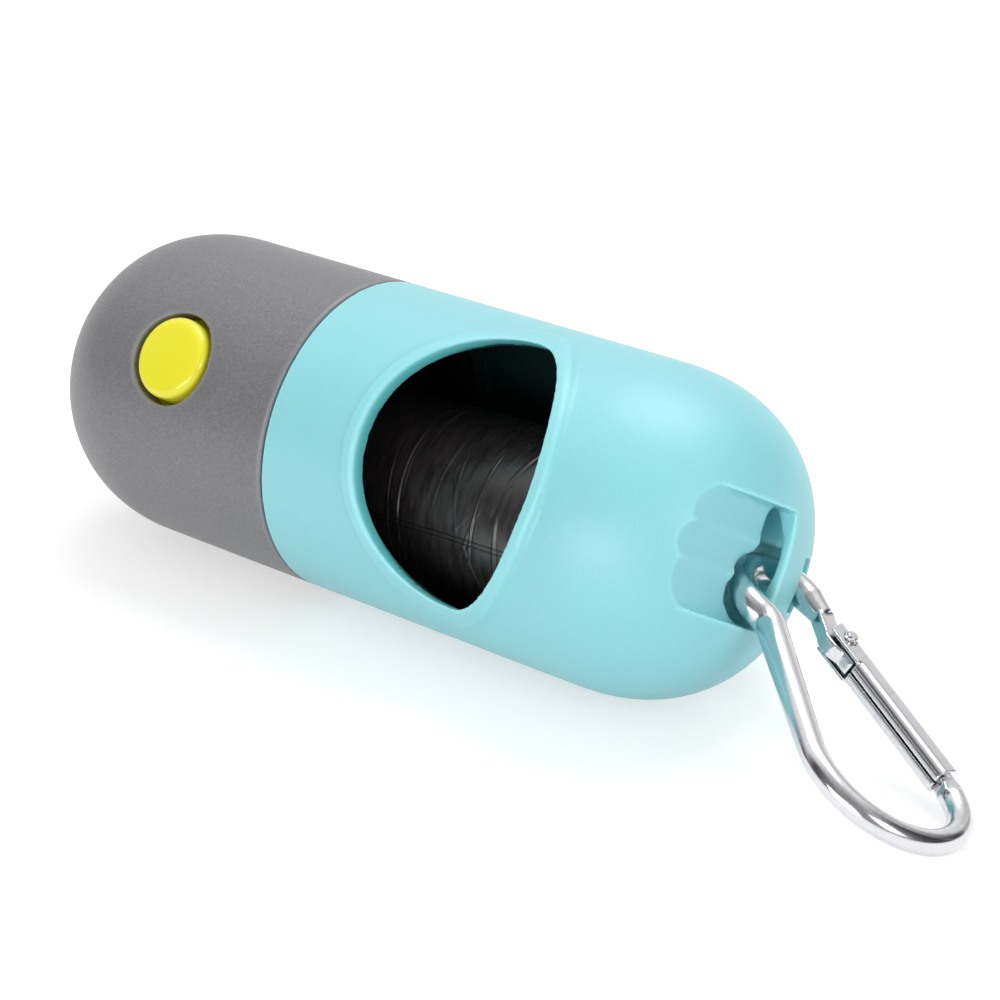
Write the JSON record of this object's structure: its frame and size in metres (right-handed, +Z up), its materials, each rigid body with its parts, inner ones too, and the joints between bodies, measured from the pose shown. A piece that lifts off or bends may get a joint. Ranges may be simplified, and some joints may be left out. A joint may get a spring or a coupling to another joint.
{
  "type": "dog bag dispenser",
  "caption": "Capsule dispenser for a roll of dog bags, with a screw-on torch half, a window for pulling bags out and a small carabiner held in its end.",
  "frame": {"origin": "centre of the bounding box in X and Y, on the surface that the capsule lies on", "axes": "+X along the capsule from the torch half to the carabiner end, +Y away from the window side, +Z up"},
  "size_m": [0.154, 0.0466, 0.0457],
  "materials": {
    "teal_plastic": "satin moulded plastic",
    "grey_plastic": "satin moulded plastic",
    "yellow_plastic": "glossy moulded plastic",
    "black_film": "wrinkled thin film, semi-gloss",
    "card": "plain wound card",
    "black_rubber": "smooth",
    "black_plastic": "moulded, fine grain",
    "white_plastic": "moulded",
    "green_board": "glass fibre board with solder mask",
    "white_board": "white solder mask on aluminium",
    "led_yellow": "phosphor under clear silicone",
    "mirror_coat": "vacuum coated reflector",
    "clear_lens": "clear, polished",
    "nickel": "nickel plated",
    "gold_contact": "thin gold plating",
    "red_insulation": "smooth",
    "black_insulation": "smooth",
    "steel": "zinc plated",
    "aluminium": "polished, lightly marked"
  },
  "bodies": {
    "housing": {"bag_housing": "teal_plastic"},
    "roll": {"bag_roll": "black_film", "roll_core": "card"},
    "ring": {"seal_ring": "black_rubber"},
    "torch": {"torch_shell": "grey_plastic", "torch_base": "black_plastic", "base_screws": "steel", "tact_switch": "black_plastic", "switch_board": "green_board", "led_board": "white_board", "led": "led_yellow", "reflector": "mirror_coat", "torch_lens": "clear_lens", "battery_holder": "black_plastic", "button_cell_1": "nickel", "button_cell_2": "nickel", "button_cell_3": "nickel", "contact_spring": "gold_contact", "contact_plate": "gold_contact", "red_lead": "red_insulation", "black_lead": "black_insulation"},
    "button": {"push_button": "yellow_plastic", "switch_plunger": "white_plastic"},
    "carabiner": {"carabiner_frame": "aluminium", "gate_rivet": "aluminium"},
    "gate": {"carabiner_gate": "aluminium", "gate_spring": "steel"}
  },
  "joints": [
    {"name": "torch_travel", "type": "slide", "parent": "housing", "child": "ring", "axis": [-1, 0, 0], "range_m": [0, 0.006]},
    {"name": "torch_twist", "type": "hinge", "parent": "ring", "child": "torch", "pos_m": [-0.02737, 0.00083, 0.0225], "axis": [-1, 0, 0], "range_deg": [0, 720]},
    {"name": "roll_turn", "type": "hinge", "parent": "housing", "child": "roll", "pos_m": [-0.02082, 0.00083, 0.01645], "axis": [0.9991, 0, 0.0422], "continuous": true},
    {"name": "button_press", "type": "slide", "parent": "torch", "child": "button", "axis": [0, 0.8192, -0.5736], "range_m": [0, 0.0012], "stiffness_N_per_m": 800, "springref_m": -0.001},
    {"name": "carabiner_swing", "type": "hinge", "parent": "housing", "child": "carabiner", "pos_m": [0.03603, 0.0029, 0.02052], "axis": [0, -0.8517, 0.524], "range_deg": [0, 25]},
    {"name": "gate_swing", "type": "hinge", "parent": "carabiner", "child": "gate", "pos_m": [0.04965, 0.0046, 0.01264], "axis": [-0.4725, -0.1973, -0.859], "range_deg": [0, 25], "stiffness_Nm_per_rad": 0.01, "springref_deg": -34.38}
  ],
  "couplings": [
    {"joint": "torch_travel", "follows": "torch_twist", "m_per_rad": 0.00047746}
  ]
}
